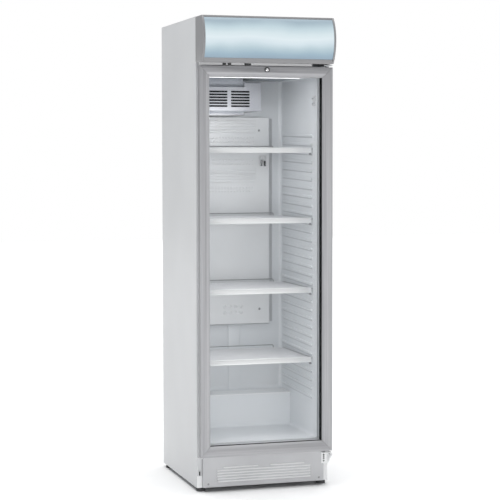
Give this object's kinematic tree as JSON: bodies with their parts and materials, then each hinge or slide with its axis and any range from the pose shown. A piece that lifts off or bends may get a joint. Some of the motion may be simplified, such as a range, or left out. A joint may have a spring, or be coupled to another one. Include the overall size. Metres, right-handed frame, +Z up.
{
  "type": "glass door merchandiser",
  "caption": "Upright display refrigerator with a hinged glass door, wire shelves, a curved lit canopy above the door and a louvred kick grille below it.",
  "frame": {"origin": "centre of the part's bounding box at floor level", "axes": "+Z up, the glass door faces -Y, its hinge is on the +X side"},
  "size_m": [0.595, 0.716, 2.034],
  "materials": {
    "white_steel": "semi-gloss white enamel",
    "white_liner": "satin moulded",
    "coated_wire": "white plastic coated",
    "silver_frame": "satin anodised",
    "silver_plastic": "satin",
    "canopy_grey": "satin",
    "diffuser": "translucent, lit from behind",
    "lamp": "opal, lit",
    "control_white": "satin",
    "black_plastic": "matte",
    "grey_rubber": "matte",
    "glass": "clear",
    "zinc_steel": "zinc plated",
    "chrome": "polished",
    "fin_aluminium": "mill",
    "foam": "rigid foam",
    "black_enamel": "semi-gloss",
    "copper": "drawn tube"
  },
  "bodies": {
    "cabinet": {"left_side_panel": "white_steel", "right_side_panel": "white_steel", "top_panel": "white_steel", "back_panel": "white_steel", "base_tray": "zinc_steel", "insulation_foam": "foam", "liner_left_wall": "white_liner", "liner_right_wall": "white_liner", "liner_rear_wall": "white_liner", "liner_ceiling": "white_liner", "liner_floor": "white_liner", "liner_hump": "white_liner", "kick_grille": "silver_plastic", "lower_hinge_bracket": "white_steel", "upper_hinge_bracket": "zinc_steel", "corner_bracket": "white_steel", "canopy_housing": "canopy_grey", "canopy_end_cap_left": "canopy_grey", "canopy_end_cap_right": "canopy_grey", "canopy_diffuser": "diffuser", "canopy_lamp": "lamp", "control_strip": "control_white", "temperature_controller": "black_plastic", "rear_duct_panel": "white_steel", "evaporator_cover": "white_liner", "evaporator_coil": "fin_aluminium", "evaporator_fan_motor": "zinc_steel", "drip_tray": "white_liner", "interior_lamp": "lamp", "compressor": "black_enamel", "condenser": "fin_aluminium", "condenser_fan_shroud": "zinc_steel", "condensate_pan": "black_plastic", "power_gland": "black_plastic", "discharge_pipe": "copper"},
    "door": {"door_left_stile": "silver_frame", "door_right_stile": "silver_frame", "door_top_rail": "silver_frame", "door_bottom_rail": "silver_frame", "outer_pane": "glass", "inner_pane": "glass", "glazing_spacer": "black_plastic", "door_lining": "silver_plastic", "door_gasket": "grey_rubber", "lock_bezel": "black_plastic"},
    "lock": {"lock_cylinder": "chrome"},
    "upper_shelf": {"shelf_1": "coated_wire"},
    "second_shelf": {"shelf_2": "coated_wire"},
    "third_shelf": {"shelf_3": "coated_wire"},
    "lower_shelf": {"shelf_4": "coated_wire"},
    "power_rocker": {"power_switch": "black_plastic"},
    "light_rocker": {"light_switch": "black_plastic"},
    "up_key": {"controller_up_button": "control_white"},
    "down_key": {"controller_down_button": "control_white"},
    "evaporator_rotor": {"evaporator_fan": "black_plastic"},
    "condenser_rotor": {"condenser_fan": "black_plastic"},
    "front_left_foot": {"foot_front_left": "black_plastic"},
    "front_right_foot": {"foot_front_right": "black_plastic"},
    "rear_left_foot": {"foot_rear_left": "black_plastic"},
    "rear_right_foot": {"foot_rear_right": "black_plastic"}
  },
  "joints": [
    {"name": "door_hinge", "type": "hinge", "parent": "cabinet", "child": "door", "pos_m": [0.2775, -0.284, 0.158], "axis": [0, 0, 1], "range_deg": [0, 110]},
    {"name": "lock_turn", "type": "hinge", "parent": "door", "child": "lock", "pos_m": [0, -0.304, 1.8105], "axis": [0, -1, 0], "range_deg": [0, 90]},
    {"name": "upper_shelf_slide", "type": "slide", "parent": "cabinet", "child": "upper_shelf", "axis": [0, -1, 0], "range_m": [0, 0.045]},
    {"name": "second_shelf_slide", "type": "slide", "parent": "cabinet", "child": "second_shelf", "axis": [0, -1, 0], "range_m": [0, 0.045]},
    {"name": "third_shelf_slide", "type": "slide", "parent": "cabinet", "child": "third_shelf", "axis": [0, -1, 0], "range_m": [0, 0.045]},
    {"name": "lower_shelf_slide", "type": "slide", "parent": "cabinet", "child": "lower_shelf", "axis": [0, -1, 0], "range_m": [0, 0.045]},
    {"name": "power_rock", "type": "hinge", "parent": "cabinet", "child": "power_rocker", "pos_m": [-0.188, -0.2965, 1.83245], "axis": [-1, 0, 0], "range_deg": [0, 12]},
    {"name": "light_rock", "type": "hinge", "parent": "cabinet", "child": "light_rocker", "pos_m": [-0.165, -0.2965, 1.83245], "axis": [-1, 0, 0], "range_deg": [0, 12]},
    {"name": "up_key_press", "type": "slide", "parent": "cabinet", "child": "up_key", "axis": [0, 1, 0], "range_m": [0, 0.001], "stiffness_N_per_m": 800},
    {"name": "down_key_press", "type": "slide", "parent": "cabinet", "child": "down_key", "axis": [0, 1, 0], "range_m": [0, 0.001], "stiffness_N_per_m": 800},
    {"name": "evaporator_fan_spin", "type": "hinge", "parent": "cabinet", "child": "evaporator_rotor", "pos_m": [-0.124, 0.037, 1.69325], "axis": [0, 1, 0], "continuous": true},
    {"name": "condenser_fan_spin", "type": "hinge", "parent": "cabinet", "child": "condenser_rotor", "pos_m": [0, -0.121, 0.0803], "axis": [0, 1, 0], "continuous": true},
    {"name": "front_left_foot_screw", "type": "slide", "parent": "cabinet", "child": "front_left_foot", "axis": [0, 0, -1], "range_m": [0, 0.02]},
    {"name": "front_right_foot_screw", "type": "slide", "parent": "cabinet", "child": "front_right_foot", "axis": [0, 0, -1], "range_m": [0, 0.02]},
    {"name": "rear_left_foot_screw", "type": "slide", "parent": "cabinet", "child": "rear_left_foot", "axis": [0, 0, -1], "range_m": [0, 0.02]},
    {"name": "rear_right_foot_screw", "type": "slide", "parent": "cabinet", "child": "rear_right_foot", "axis": [0, 0, -1], "range_m": [0, 0.02]}
  ]
}
